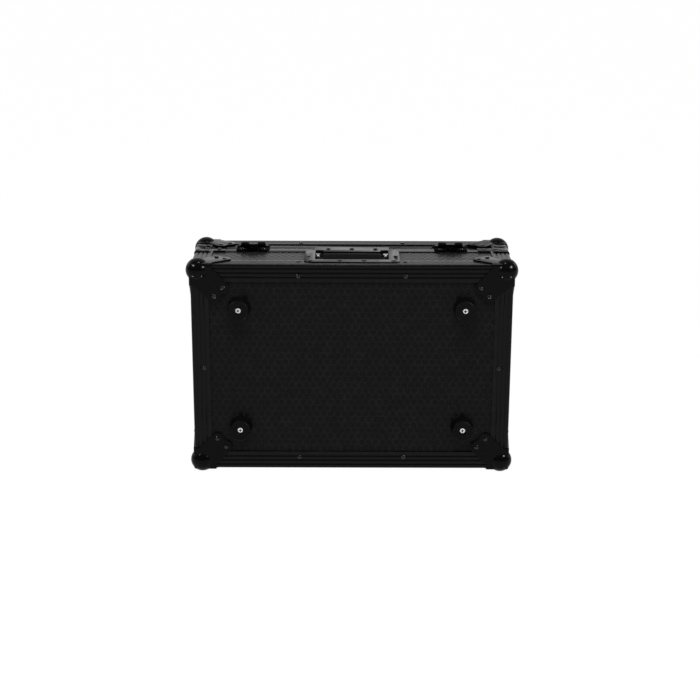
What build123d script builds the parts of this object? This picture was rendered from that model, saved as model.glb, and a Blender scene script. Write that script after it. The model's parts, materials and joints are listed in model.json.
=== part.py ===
# Flight case for a DJ mixer, closed and standing on its hinge side as in the photograph.
# X runs along the case, Y from the underside with its feet to the top of the lid, and Z up to
# the side with the handle and latches. Depths are measured from the underside along Y,
# heights from the hinge side along Z. All sizes are in millimetres.
from build123d import *
import os

# How far a cutting solid runs past what it cuts, and how far joined solids overlap
overshoot = 1.0
lap = 0.5

# Overall size over the edge extrusions
case_length = 530.0
case_height = 355.0
base_depth = 124.0
lid_depth = 58.0
joint_gap = 0.4

# Laminated plywood panels
panel_thickness = 6.5

# Double-angle edge extrusion with ribbed legs
edge_leg = 30.0
edge_wall = 3.0
edge_radius = 3.0
corner_trim = 10.0
edge_inner_wall = 1.5
edge_inner_leg = 11.0
groove_pitch = 7.3
groove_width = 1.3
groove_depth = 1.0
groove_count = 3

# Tongue-and-groove rim extrusion on each half of the joint
rim_leg = 22.5
rim_wall = 1.5
rim_web = 6.0
rim_inner_leg = 12.0
groove_slot = 3.0
groove_slot_depth = 4.0
groove_slot_inset = 1.8
tongue_thickness = 1.4
tongue_depth = 3.0

# Pressed ball corners
ball_radius = 20.0
ball_inset = 12.0
ball_wall = 1.8
plate_thickness = 2.2
plate_arm = 36.0
plate_shoulder = 6.0
lobe_radius = 10.0
lobe_far = 53.5
lobe_near = 39.0
scallop_radius = 9.0
scallop_depth = 2.2
side_shoulder = 18.0
side_lobes = ((55.0, 33.5), (40.5, 44.5))
plate_gap = 0.4

# Corner braces along the joint
brace_arm = 51.0
brace_width = 26.0
brace_thickness = 1.6
brace_lap = 12.0
brace_step = 0.1
brace_joint_gap = 1.0
brace_radius = 4.0
brace_rivet_x = 19.3

# Rivets
rivet_radius = 3.8
rivet_top_radius = 2.4
rivet_height = 1.6
rivet_edge = 5.5
edge_rivet_x = 88.0
edge_rivet_inset = 20.0
rim_rivet_x = 67.0

# Rubber feet with a countersunk screw and washer
foot_radius = 19.0
foot_tip_radius = 17.6
foot_height = 25.0
foot_rounding = 1.5
foot_bore_radius = 6.0
foot_bore_depth = 8.5
foot_hole_radius = 2.6
foot_inset_x = 79.0
foot_inset_z = 74.0
washer_radius = 5.7
washer_thickness = 1.2
foot_screw_radius = 2.4
screw_head_radius = 4.9
screw_head_height = 2.4
screw_head_rounding = 1.0
cross_length = 5.6
cross_width = 1.3

# Foam lining
floor_foam = 15.0
wall_foam = 10.0
lid_foam = 20.0
foam_clear = 0.3

# Recessed handle
flange_thickness = 1.5
flange_half = 79.0
flange_front = 15.5
flange_lip_half = 67.0
flange_lip = 3.0
flange_corner = 6.0
rear_flange_half = 63.0
rear_flange_gap = 1.5
pan_wall = 1.5
pan_edge_gap = 0.6
pan_half = 62.8
pan_depth = 40.0
recess_rear_gap = 2.2
recess_width = 13.2
recess_corner = 2.0
pivot_gap = 5.3
pivot_step = 5.0
pivot_drop = 7.0
pin_radius = 2.0
pin_clearance = 0.05
grip_half = 48.5
bar_reach = 36.0
grip_drop = 5.5
grip_radius_y = 11.0
grip_radius_z = 11.0
grip_rounding = 3.3
bar_radius = 3.5
bar_half = 57.0
bar_bend = 8.5
eye_radius = 4.2
eye_half = 3.2
spring_wire = 0.6
spring_radius = 3.6
spring_turns = 2.5
spring_pitch = 1.4
flange_screws = ((73.0, 54.0), (68.5, 21.0))
front_flange_rivet_x = 20.0
rear_flange_rivet_x = 40.0
rear_flange_rivet_step = 8.5

# Butterfly latches
latch_inset = 96.5
latch_half = 28.0
latch_rivet_x = 17.5
latch_thickness = 1.9
latch_corner = 6.0
latch_edge_gap = 1.0
spindle_inset = 12.0
spindle_radius = 7.5
spindle_thickness = 1.0
post_radius = 1.8
rail_inner = 6.5
rail_outer = 8.6
rail_height = 1.5
hook_half = 6.0
hook_thickness = 1.2
hook_reach = 12.0
hook_travel = 8.0
slide_clearance = 0.3
ear_inner = 5.0
ear_thickness = 1.8
ear_radius = 2.6
wing_pin_radius = 1.2
wing_pin_rise = 3.9
wing_hub_radius = 2.2
wing_arm_length = 3.6
wing_arm_start = 3.1
wing_arm_half = 1.3
lobe_inner_x = 7.2
lobe_outer_x = 20.8
wing_lobe_length = 12.5
wing_lobe_height = 5.8
wing_lobe_rounding = 2.2
wing_top_rounding = 1.3
keeper_length = 26.0
keeper_lip = 2.0
keeper_rise = 0.4
keeper_lip_rise = 1.0

# Hinges on the rear side
hinge_inset = 115.0
hinge_width = 70.0
hinge_leaf = 1.5
hinge_leaf_length = 20.0
hinge_axis_out = 3.0
knuckle_radius = 3.2
hinge_pin_radius = 1.5
knuckle_count = 5
knuckle_gap = 0.3
knuckle_relief = 4.0

# Worked out from the sizes above
half_length = case_length / 2
case_depth = base_depth + joint_gap + lid_depth
lid_start = base_depth + joint_gap
tube = edge_wall + panel_thickness + edge_inner_wall
panel_inner = edge_wall + panel_thickness
rim_level = edge_wall - rim_wall
rim_start = base_depth - rim_leg
lid_rim_end = case_depth - edge_leg
ball_proud = ball_radius - ball_inset
foot_proud = foot_height - edge_wall
hinge_depth = base_depth + joint_gap / 2
latch_x = (latch_inset - half_length, half_length - latch_inset)
hinge_x = half_length - hinge_inset
spindle_depth = base_depth - spindle_inset
hook_nose = base_depth + hook_reach
recess_rear = rim_start - recess_rear_gap
pivot_depth = recess_rear - pivot_gap
cavity_rear = pivot_depth - pivot_step
grip_depth = pivot_depth - bar_reach
pivot_height = case_height - pivot_drop
cavity_front = edge_leg + pan_edge_gap + pan_wall
recess_outer = pan_half - pan_wall
recess_inner = recess_outer - recess_width
spring_coil_x = recess_inner + spring_wire + slide_clearance
latch_top = case_height - rim_level + latch_thickness
hook_bottom = latch_top + slide_clearance
hook_top = hook_bottom + hook_thickness
spindle_bottom = latch_top + rail_height + slide_clearance
spindle_top = spindle_bottom + spindle_thickness
wing_pin_height = spindle_bottom + wing_pin_rise
lobe_depth = spindle_depth + wing_arm_start + wing_arm_length
keeper_top = case_height + keeper_rise

# The part stands on its rear ball corners with its origin under the middle of its outline.
place = Pos(0, -(case_depth + ball_proud - foot_proud) / 2, ball_proud)

os.makedirs("parts", exist_ok=True)


def save(name, *solids):
    """Write one sub-part, moved to its place in the part's own frame."""
    shapes = [place * solid for solid in solids]
    shape = shapes[0] if len(shapes) == 1 else Compound(children=shapes)
    export_step(shape, f"parts/{name}.step")


def block(x0, x1, y0, y1, z0, z1):
    """A box between two corners."""
    centre = Pos((x0 + x1) / 2, (y0 + y1) / 2, (z0 + z1) / 2)
    return centre * Box(x1 - x0, y1 - y0, z1 - z0)


def rod(start, direction, radius, length):
    """A round bar from a point along a direction."""
    return extrude(Plane(origin=start, z_dir=direction) * Circle(radius), length)


def one(shape):
    """The single solid of a shape."""
    return shape.solids()[0]


def frame_ring(inset_out, inset_in, y0, y1):
    """A rectangular ring around the case between two insets from its sides."""
    outer = block(-half_length + inset_out, half_length - inset_out, y0, y1,
                  inset_out, case_height - inset_out)
    inner = block(-half_length + inset_in, half_length - inset_in, y0 - overshoot, y1 + overshoot,
                  inset_in, case_height - inset_in)
    return outer - inner


def mitred_sides(ring, y0, y1):
    """Cut a ring into its left, right, rear and front bars along the mitres."""
    reach = edge_leg * 2
    left, right, low, high = -half_length, half_length, 0.0, case_height
    outlines = (
        ((left, low), (left, high), (left + reach, high - reach), (left + reach, low + reach)),
        ((right, low), (right, high), (right - reach, high - reach), (right - reach, low + reach)),
        ((left, low), (right, low), (right - reach, low + reach), (left + reach, low + reach)),
        ((left, high), (right, high), (right - reach, high - reach), (left + reach, high - reach)),
    )
    bars = []
    for outline in outlines:
        wire = Polyline(*[(x, y0 - overshoot, z) for x, z in outline], close=True)
        wedge = extrude(make_face(wire), y1 - y0 + 2 * overshoot, dir=(0, 1, 0))
        bars.append(one(ring & wedge))
    return bars


def edge_section():
    """Outer legs, the square tube at the corner and the inner legs that hold two panels."""
    corner = (Align.MIN, Align.MIN)
    legs = Rectangle(edge_leg, edge_wall, align=corner) + Rectangle(edge_wall, edge_leg, align=corner)
    legs = fillet(legs.vertices().sort_by_distance((0, 0, 0))[0], edge_radius)
    for step in range(1, groove_count + 1):
        groove = Rectangle(groove_width, groove_depth, align=(Align.CENTER, Align.MIN))
        side_groove = Rectangle(groove_depth, groove_width, align=(Align.MIN, Align.CENTER))
        legs -= Pos(step * groove_pitch, 0) * groove
        legs -= Pos(0, step * groove_pitch) * side_groove
    walls = Pos(edge_wall, edge_wall) * Rectangle(tube - edge_wall, tube - edge_wall, align=corner)
    walls -= Pos(edge_wall, edge_wall) * Rectangle(panel_thickness, panel_thickness, align=corner)
    reach = edge_inner_leg + edge_inner_wall
    inner = Rectangle(reach, edge_inner_wall, align=corner) + Rectangle(edge_inner_wall, reach, align=corner)
    return legs + walls + Pos(panel_inner, panel_inner) * inner


def edge_bar(corner, along, leg_a, leg_b, length, mitre_end):
    """One edge extrusion from a case corner, mitred there and, if asked, at its far end."""
    along, leg_a, leg_b = Vector(*along), Vector(*leg_a), Vector(*leg_b)
    if along.cross(leg_a).dot(leg_b) < 0:
        leg_a, leg_b = leg_b, leg_a
    start = Plane(origin=corner, x_dir=leg_a, z_dir=along)
    bar = extrude(start * edge_section(), length)
    cuts = [(Vector(*corner), along - leg_a), (Vector(*corner), along - leg_b)]
    if mitre_end:
        end = Vector(*corner) + along * length
        cuts += [(end, -along - leg_a), (end, -along - leg_b)]
    cuts.append((Vector(*corner) + along * corner_trim, along + leg_a + leg_b))
    if mitre_end:
        cuts.append((end - along * corner_trim, leg_a + leg_b - along))
    for point, normal in cuts:
        bar = split(bar, bisect_by=Plane(origin=point, z_dir=normal), keep=Keep.TOP)
    return one(bar)


def face_edges(y, inward):
    """The four extrusions around the underside or around the top of the lid."""
    bars = []
    for z, into in ((0, 1), (case_height, -1)):
        bars.append(edge_bar((-half_length, y, z), (1, 0, 0), (0, inward, 0), (0, 0, into),
                             case_length, True))
    for side in (-1, 1):
        bars.append(edge_bar((side * half_length, y, 0), (0, 0, 1), (0, inward, 0), (-side, 0, 0),
                             case_height, True))
    return bars


def corner_edges(y, inward, length):
    """The four short extrusions from the corners to the rim."""
    bars = []
    for side in (-1, 1):
        for z, into in ((0, 1), (case_height, -1)):
            bars.append(edge_bar((side * half_length, y, z), (0, inward, 0), (-side, 0, 0),
                                 (0, 0, into), length, False))
    return bars


def base_rims():
    """Grooved rim: outer flange, web with the groove, and inner flange."""
    web_start = base_depth - rim_web
    ring = frame_ring(rim_level, edge_wall, rim_start, base_depth)
    ring += frame_ring(edge_wall, tube, web_start, base_depth)
    ring += frame_ring(panel_inner, tube, base_depth - rim_web - rim_inner_leg, web_start)
    slot_out = edge_wall + groove_slot_inset
    slot_start = base_depth - groove_slot_depth
    ring -= frame_ring(slot_out, slot_out + groove_slot, slot_start, base_depth + overshoot)
    return mitred_sides(ring, rim_start, base_depth)


def lid_rims():
    """Tongued rim that closes into the groove of the base."""
    web_end = lid_start + rim_web - groove_slot_depth
    ring = frame_ring(rim_level, edge_wall, lid_start, lid_rim_end)
    ring += frame_ring(edge_wall, tube, lid_start, web_end)
    ring += frame_ring(panel_inner, tube, web_end, web_end + rim_inner_leg)
    tongue_out = edge_wall + groove_slot_inset + (groove_slot - tongue_thickness) / 2
    tongue_tip = lid_start - joint_gap - tongue_depth
    ring += frame_ring(tongue_out, tongue_out + tongue_thickness, tongue_tip, lid_start)
    return mitred_sides(ring, tongue_tip, lid_rim_end)


def side_panels(y0, y1, cut=None):
    """Front, rear, left and right panels of one half."""
    front = block(-half_length + tube, half_length - tube, y0, y1,
                  case_height - panel_inner, case_height - edge_wall)
    if cut:
        front -= cut
    rear = block(-half_length + tube, half_length - tube, y0, y1, edge_wall, panel_inner)
    left = block(-half_length + edge_wall, -half_length + panel_inner, y0, y1, tube, case_height - tube)
    right = block(half_length - panel_inner, half_length - edge_wall, y0, y1, tube, case_height - tube)
    return {"front": front, "rear": rear, "left": left, "right": right}


def face_panel(y0, y1):
    """The underside or the top of the lid."""
    return block(-half_length + tube, half_length - tube, y0, y1, tube, case_height - tube)


def plate_outline(lobes, depth_arm, depth_shoulder):
    """Outline of a ball corner's plate: a foot along both edges, drawn in to two round lobes."""
    back = -plate_thickness
    along, deep = (plate_arm, plate_shoulder), (depth_shoulder, depth_arm)
    foot = make_face(Polyline((back, back), (plate_arm, back), along, deep, (back, depth_arm), close=True))
    shape = foot + hull_of([(plate_shoulder, plate_shoulder), along, deep], lobes)
    (far_x, far_y), (near_x, near_y) = lobes
    out = Vector(near_y - far_y, far_x - near_x).normalized()
    notch = Vector((far_x + near_x) / 2, (far_y + near_y) / 2)
    notch += out * (lobe_radius + scallop_radius - scallop_depth)
    return shape - Pos(notch) * Circle(scallop_radius)


def face_plate():
    """Plate on the underside or on the top of the lid."""
    return plate_outline(((lobe_far, lobe_near), (lobe_near, lobe_far)), plate_arm, plate_shoulder)


def side_plate():
    """Plate on a side of the case, measured along the edge and in depth."""
    return plate_outline(side_lobes, edge_leg - plate_gap, side_shoulder)


def hull_of(points, lobes):
    """The convex outline around some points and lobe circles."""
    edges = []
    for x, y in lobes:
        edges += (Pos(x, y) * Circle(lobe_radius)).edges()
    for first, second in zip(points, points[1:] + points[:1]):
        edges.append(Edge.make_line((*first, 0), (*second, 0)))
    return Sketch() + make_hull(edges)


def rounded_corner(outset, reach, radius):
    """A large block whose three edges at the case corner are rounded."""
    shape = block(-outset, reach, -outset, reach, -outset, reach)
    near = shape.edges().sort_by_distance((-outset, -outset, -outset))[:3]
    return fillet(near, radius)


def ball_corner(lid):
    """A ball corner at the origin, around a case that fills the positive octant."""
    reach = side_lobes[0][0] + lobe_radius + plate_thickness
    skin = plate_thickness + edge_radius
    face_plane = Plane(origin=(0, -plate_thickness, 0), x_dir=(1, 0, 0), z_dir=(0, -1, 0))
    face = extrude(face_plane * face_plate(), -skin)
    side = extrude(Plane(origin=(0, 0, -plate_thickness)) * side_plate(), skin)
    end_plane = Plane(origin=(-plate_thickness, 0, 0), x_dir=(0, 0, 1), z_dir=(-1, 0, 0))
    end = extrude(end_plane * side_plate(), -skin)
    plates = (face + side + end) & rounded_corner(plate_thickness, reach, edge_radius + plate_thickness / 2)
    centre = Pos(ball_inset, ball_inset, ball_inset)
    body = plates + centre * Sphere(ball_radius)
    body -= centre * Sphere(ball_radius - ball_wall)
    far = reach + ball_radius
    case = block(0, far, 0, far, 0, far)
    if lid:
        case = block(0, far, 0, edge_leg, 0, far) + block(rim_level, far, 0, far, rim_level, far)
    trim = Plane(origin=(corner_trim, 0, 0), z_dir=(1, 1, 1))
    body -= split(case, bisect_by=trim, keep=Keep.TOP)
    return one(body)


def at_corner(shape, side, lid, front):
    """Mirror a piece made at the origin into one of the eight corners of the case."""
    if side > 0:
        shape = mirror(shape, about=Plane.YZ)
    if lid:
        shape = mirror(shape, about=Plane.XZ)
    if front:
        shape = mirror(shape, about=Plane.XY)
    corner = Pos(side * half_length, case_depth if lid else 0, case_height if front else 0)
    return one(corner * shape)


def corner_brace(y0, y1, arm):
    """An angle brace on the rims at the origin's upright edge, with a thinner arm if it is asked for."""
    out = brace_thickness
    body = block(-out, brace_width, y0, y1, -out, brace_width)
    body = fillet(body.edges().filter_by(Axis.Y).group_by(Axis.X)[0].group_by(Axis.Z)[0], brace_radius)
    if arm > brace_width:
        body += block(-brace_step, arm, y0, y1, -brace_step, arm)
    return body - block(rim_level, case_length, y0 - overshoot, y1 + overshoot, rim_level, case_height)


def base_brace():
    """The base's brace, with a strip that laps onto the edge extrusion."""
    strip_start = rim_start - brace_lap
    body = corner_brace(rim_start, base_depth - brace_joint_gap / 2, brace_arm)
    strip = block(-brace_thickness, brace_width, strip_start, rim_start, -brace_thickness, brace_width)
    strip = fillet(strip.edges().filter_by(Axis.Y).group_by(Axis.X)[0].group_by(Axis.Z)[0], brace_radius)
    core = block(0, case_length, strip_start - overshoot, rim_start + overshoot, 0, case_height)
    core = fillet(core.edges().filter_by(Axis.Y).group_by(Axis.X)[0].group_by(Axis.Z)[0], edge_radius)
    return one(body + (strip - core))


def lid_brace():
    """The lid's brace, cut back around the plates of the ball corner."""
    body = corner_brace(lid_start + brace_joint_gap / 2, lid_rim_end, 0)
    outline = offset(side_plate(), plate_gap)
    depth = brace_thickness + rim_level + 2 * overshoot
    top = Plane(origin=(0, case_depth, rim_level + overshoot), x_dir=(1, 0, 0), z_dir=(0, 0, -1))
    end = Plane(origin=(rim_level + overshoot, case_depth, 0), x_dir=(0, 0, 1), z_dir=(1, 0, 0))
    return one(body - extrude(top * outline, depth) - extrude(end * outline, -depth))


def braces(lid):
    """The four braces of one half of the joint."""
    shape = lid_brace() if lid else base_brace()
    return [at_corner(shape, side, False, front) for side in (-1, 1) for front in (False, True)]


def rivet(point, normal):
    """A domed rivet head on a surface."""
    return Solid.make_cone(rivet_radius, rivet_top_radius, rivet_height, Plane(origin=point, z_dir=normal))


def corner_rivets(lid):
    """Rivets through the ball corners of one half."""
    heads = []
    inward = -1 if lid else 1
    y = case_depth if lid else 0
    for side in (-1, 1):
        for front in (False, True):
            x, z = side * half_length, case_height if front else 0
            into = -1 if front else 1
            out_x, out_y, out_z = (side, 0, 0), (0, -inward, 0), (0, 0, -into)
            for a, b in ((lobe_far, lobe_near), (lobe_near, lobe_far)):
                spot = (x - side * a, y - inward * plate_thickness, z + into * b)
                heads.append(rivet(spot, out_y))
            for a, b in side_lobes:
                heads.append(rivet((x - side * a, y + inward * b, z - into * plate_thickness), out_z))
                heads.append(rivet((x + side * plate_thickness, y + inward * b, z + into * a), out_x))
    return heads


def brace_rivets(lid):
    """Rivets through the corner braces of one half."""
    heads = []
    middle = (rim_start + base_depth) / 2
    spots = [(brace_rivet_x, rim_start - brace_lap + rivet_edge, brace_thickness),
             (brace_rivet_x, middle - rivet_edge, brace_thickness),
             (brace_arm - 2 * rivet_edge, middle, brace_step)]
    if lid:
        spots = [(brace_rivet_x, lid_start + rivet_edge, brace_thickness)]
    for side in (-1, 1):
        for front in (False, True):
            x, z = side * half_length, case_height if front else 0
            into = -1 if front else 1
            for a, y, level in spots:
                heads.append(rivet((x - side * a, y, z - into * level), (0, 0, -into)))
                heads.append(rivet((x + side * level, y, z + into * a), (side, 0, 0)))
    return heads


def edge_rivets(lid):
    """Rivets along the edge and rim extrusions of one half."""
    heads = []
    y_face = case_depth if lid else 0
    inward = -1 if lid else 1
    y_side = y_face + inward * edge_rivet_inset
    mid_height = case_height / 2
    for side in (-1, 1):
        for z, into in ((0, 1), (case_height, -1)):
            x = side * edge_rivet_x
            heads.append(rivet((x, y_face, z + into * edge_rivet_inset), (0, -inward, 0)))
            heads.append(rivet((x, y_side, z), (0, 0, -into)))
            heads.append(rivet((side * half_length, y_side, mid_height - into * edge_rivet_x), (side, 0, 0)))
        heads.append(rivet((side * (half_length - edge_rivet_inset), y_face, mid_height), (0, -inward, 0)))
    y_rim = (lid_start + lid_rim_end) / 2 if lid else (rim_start + base_depth) / 2
    for side in (-1, 1):
        rim_x = half_length - rim_level
        heads.append(rivet((side * rim_x, y_rim, mid_height - edge_rivet_x), (side, 0, 0)))
        heads.append(rivet((side * rim_x, y_rim, mid_height + edge_rivet_x), (side, 0, 0)))
        heads.append(rivet((side * rim_rivet_x, y_rim, rim_level), (0, 0, -1)))
        if not lid:
            heads.append(rivet((side * rim_rivet_x, y_rim, case_height - rim_level), (0, 0, 1)))
    return heads


def hinge_rivets(lid):
    """Three rivets through each hinge leaf."""
    heads = []
    direction = 1 if lid else -1
    y = hinge_depth + direction * (knuckle_relief + hinge_leaf_length / 2)
    for x in (-hinge_x, hinge_x):
        for step in (-1, 0, 1):
            spot = (x + step * (hinge_width / 2 - rivet_edge), y, rim_level - hinge_leaf)
            heads.append(rivet(spot, (0, 0, -1)))
    return heads


def latch_rivets(lid):
    """Rivets through the latch plates of the base or the keepers of the lid."""
    heads = []
    for x in latch_x:
        for side in (-1, 1):
            if lid:
                spot = (x + side * (latch_half - rivet_edge), lid_start + keeper_length / 2, keeper_top)
            else:
                spot = (x + side * latch_rivet_x, spindle_depth, latch_top)
            heads.append(rivet(spot, (0, 0, 1)))
    return heads


def handle_rivets():
    """Rivets and screws that hold the handle dish."""
    top = case_height + flange_thickness
    heads = []
    for side in (-1, 1):
        for x, y in flange_screws:
            heads.append(rivet((side * x, y, top), (0, 0, 1)))
        spot = (side * front_flange_rivet_x, flange_front - flange_lip + 2 * rivet_edge, top)
        heads.append(rivet(spot, (0, 0, 1)))
    for step in (-1, 0, 1):
        spot = (step * rear_flange_rivet_x, rim_start + rear_flange_rivet_step, top)
        heads.append(rivet(spot, (0, 0, 1)))
    return heads


def handle_cut(clear):
    """The space of the handle pan, grown by a clearance."""
    return block(-pan_half - clear, pan_half + clear, edge_leg + pan_edge_gap - clear,
                 recess_rear + pan_wall + clear, case_height - pan_depth - clear,
                 case_height + overshoot)


def handle_dish():
    """Flange and pan of the recessed handle, with a deeper recess for each pivot."""
    top = case_height + flange_thickness
    flange_rear = rim_start - pan_edge_gap
    plate = block(-flange_half, flange_half, flange_front, flange_rear, case_height, top)
    plate += block(-flange_lip_half, flange_lip_half, flange_front - flange_lip, flange_front + lap,
                   case_height, top)
    corners = plate.edges().filter_by(Axis.Z).group_by(Axis.X)
    plate = fillet(corners[0] + corners[-1], flange_corner)
    plate += block(-flange_half, flange_half, edge_leg + pan_edge_gap, flange_rear,
                   case_height - edge_wall, case_height)
    plate += block(-rear_flange_half, rear_flange_half, flange_rear - lap, base_depth - rear_flange_gap,
                   case_height, top)
    plate += block(-rear_flange_half, rear_flange_half, rim_start, base_depth - rear_flange_gap,
                   case_height - rim_level, case_height)
    pan_bottom = case_height - pan_depth
    pan = block(-pan_half, pan_half, edge_leg + pan_edge_gap, cavity_rear + pan_wall,
                pan_bottom, case_height)
    cavity_floor = pan_bottom + pan_wall
    cavity_top = top + overshoot
    cavity = block(-recess_outer, recess_outer, cavity_front, cavity_rear, cavity_floor, cavity_top)
    for side in (-1, 1):
        xs = sorted((side * (recess_inner - pan_wall), side * pan_half))
        pan += block(*xs, cavity_rear, recess_rear + pan_wall, pan_bottom, case_height)
        xs = sorted((side * recess_inner, side * recess_outer))
        recess = block(*xs, cavity_rear - overshoot, recess_rear, cavity_floor, cavity_top)
        far = recess.edges().filter_by(Axis.Z).group_by(Axis.Y)[-1]
        cavity += fillet(far, recess_corner)
    dish = plate + pan - cavity
    for side in (-1, 1):
        start = (side * (recess_inner - pan_wall - overshoot), pivot_depth, pivot_height)
        length = recess_width + 2 * (pan_wall + overshoot)
        dish -= rod(start, (side, 0, 0), pin_radius + pin_clearance, length)
    return one(dish)


def handle_pins():
    """The two pivot pins across the recesses."""
    length = recess_width + 2 * pan_wall
    return [rod((side * (recess_inner - pan_wall), pivot_depth, pivot_height), (side, 0, 0),
                pin_radius, length) for side in (-1, 1)]


def handle_bar():
    """Bent steel bar through the grip, with an eye on each pivot pin."""
    height = case_height - grip_drop
    leg_end = pivot_depth - eye_radius + overshoot
    path = FilletPolyline((-bar_half, leg_end, height), (-bar_half, grip_depth, height),
                          (bar_half, grip_depth, height), (bar_half, leg_end, height), radius=bar_bend)
    bar = sweep(Plane(origin=path @ 0, z_dir=path % 0) * Circle(bar_radius), path)
    for side in (-1, 1):
        start = (side * (bar_half - eye_half), pivot_depth, pivot_height)
        bar += rod(start, (side, 0, 0), eye_radius, 2 * eye_half)
        start = (side * (bar_half - 2 * bar_radius), pivot_depth, pivot_height)
        bar -= rod(start, (side, 0, 0), pin_radius + pin_clearance, 4 * bar_radius)
    return one(bar)


def handle_grip():
    """Rubber grip around the bar, thicker in the middle of its length."""
    height = case_height - grip_drop
    middle = Plane(origin=(0, grip_depth, height), x_dir=(0, 1, 0), z_dir=(1, 0, 0))
    body = extrude(middle * Ellipse(grip_radius_y, grip_radius_z), grip_half, both=True)
    ends = body.edges().group_by(Axis.X)
    body = fillet(ends[0] + ends[-1], grip_rounding)
    start = (-grip_half - overshoot, grip_depth, height)
    bore = rod(start, (1, 0, 0), bar_radius + pin_clearance, 2 * (grip_half + overshoot))
    return one(body - bore)


def handle_springs():
    """A torsion spring beside each leg of the bar."""
    springs = []
    for side in (-1, 1):
        coil = Helix(spring_pitch, spring_turns * spring_pitch, spring_radius)
        wire = sweep(Plane(origin=coil @ 0, z_dir=coil % 0) * Circle(spring_wire), coil, is_frenet=True)
        seat = Plane(origin=(side * spring_coil_x, pivot_depth, pivot_height), z_dir=(side, 0, 0))
        springs.append(one(seat * wire))
    return springs


def latch_plate(x):
    """Base plate with two guide rails and the post for the spindle."""
    bottom = case_height - rim_level
    plate = block(x - latch_half, x + latch_half, rim_start + latch_edge_gap, base_depth - latch_edge_gap,
                  bottom, latch_top)
    plate = fillet(plate.edges().filter_by(Axis.Z).group_by(Axis.Y)[0], latch_corner)
    for side in (-1, 1):
        xs = sorted((x + side * rail_inner, x + side * rail_outer))
        plate += block(*xs, rim_start + 2 * latch_edge_gap, base_depth - 2 * latch_edge_gap,
                       latch_top, latch_top + rail_height)
    plate += rod((x, spindle_depth, latch_top), (0, 0, 1), post_radius, spindle_top - latch_top)
    return one(plate)


def latch_hook(x):
    """Flat hook that the spindle drives over the keeper, with its slot for the post."""
    hook = block(x - hook_half, x + hook_half, rim_start, hook_nose, hook_bottom, hook_top)
    slot_half = post_radius + slide_clearance
    slot = block(x - slot_half, x + slot_half, spindle_depth - hook_travel, spindle_depth,
                 hook_bottom - overshoot, hook_top + overshoot)
    for y in (spindle_depth - hook_travel, spindle_depth):
        slot += rod((x, y, hook_bottom - overshoot), (0, 0, 1), slot_half, hook_thickness + 2 * overshoot)
    return one(hook - slot)


def latch_spindle(x):
    """Turning disc with two ears that carry the wing."""
    disc = rod((x, spindle_depth, spindle_bottom), (0, 0, 1), spindle_radius, spindle_thickness)
    for side in (-1, 1):
        xs = sorted((x + side * ear_inner, x + side * (ear_inner + ear_thickness)))
        disc += block(*xs, spindle_depth - ear_radius, spindle_depth + ear_radius,
                      spindle_bottom, wing_pin_height)
        disc += rod((xs[0], spindle_depth, wing_pin_height), (1, 0, 0), ear_radius, ear_thickness)
    disc -= rod((x, spindle_depth, spindle_bottom - overshoot), (0, 0, 1), post_radius + pin_clearance,
                spindle_thickness + 2 * overshoot)
    reach = ear_inner + ear_thickness + overshoot
    disc -= rod((x - reach, spindle_depth, wing_pin_height), (1, 0, 0),
                wing_pin_radius + pin_clearance, 2 * reach)
    return one(disc)


def latch_wing(x):
    """Butterfly wing: hub and pin between the ears, a cross arm and two thumb lobes."""
    hub_half = ear_inner - slide_clearance
    reach = ear_inner + ear_thickness
    wing = rod((x - hub_half, spindle_depth, wing_pin_height), (1, 0, 0), wing_hub_radius, 2 * hub_half)
    wing += rod((x - reach, spindle_depth, wing_pin_height), (1, 0, 0), wing_pin_radius, 2 * reach)
    arm_start = spindle_depth + wing_arm_start
    arm_bottom = wing_pin_height - wing_arm_half
    arm_top = wing_pin_height + wing_arm_half
    wing += block(x - hub_half, x + hub_half, spindle_depth, arm_start, arm_bottom, arm_top)
    wing += block(x - lobe_outer_x, x + lobe_outer_x, arm_start, lobe_depth, arm_bottom, arm_top)
    for side in (-1, 1):
        xs = sorted((x + side * lobe_inner_x, x + side * lobe_outer_x))
        lobe = block(*xs, lobe_depth - overshoot, lobe_depth + wing_lobe_length,
                     spindle_bottom, spindle_bottom + wing_lobe_height)
        lobe = fillet(lobe.edges().filter_by(Axis.Z), wing_lobe_rounding)
        wing += fillet(lobe.faces().sort_by(Axis.Z)[-1].edges(), wing_top_rounding)
    return one(wing)


def keeper(x):
    """Keeper plate on the lid with a raised lip past the hook's reach."""
    bottom = case_height - rim_level
    start = lid_start + latch_edge_gap
    plate = block(x - latch_half, x + latch_half, start, start + keeper_length, bottom, keeper_top)
    plate = fillet(plate.edges().filter_by(Axis.Z).group_by(Axis.Y)[-1], latch_corner)
    lip_start = hook_nose + hook_travel + slide_clearance
    plate += block(x - hook_half, x + hook_half, lip_start, lip_start + keeper_lip,
                   keeper_top, keeper_top + keeper_lip_rise)
    return one(plate)


def hinge_leaf_half(x, lid):
    """One leaf of a hinge with its share of the knuckles, on the rear rim."""
    direction = 1 if lid else -1
    axis_z = -hinge_axis_out
    leaf_near = hinge_depth + direction * knuckle_relief
    leaf_far = hinge_depth + direction * (knuckle_relief + hinge_leaf_length)
    ys = sorted((leaf_near, leaf_far))
    body = block(x - hinge_width / 2, x + hinge_width / 2, *ys, rim_level - hinge_leaf, rim_level)
    pitch = hinge_width / knuckle_count
    for index in range(1 if lid else 0, knuckle_count, 2):
        start = x - hinge_width / 2 + index * pitch + knuckle_gap / 2
        length = pitch - knuckle_gap
        ys = sorted((hinge_depth + direction * joint_gap / 4, leaf_near + direction * lap))
        body += block(start, start + length, *ys, axis_z, rim_level)
        body += rod((start, hinge_depth, axis_z), (1, 0, 0), knuckle_radius, length)
    start = (x - hinge_width / 2 - overshoot, hinge_depth, axis_z)
    body -= rod(start, (1, 0, 0), hinge_pin_radius + pin_clearance, hinge_width + 2 * overshoot)
    return one(body)


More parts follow.
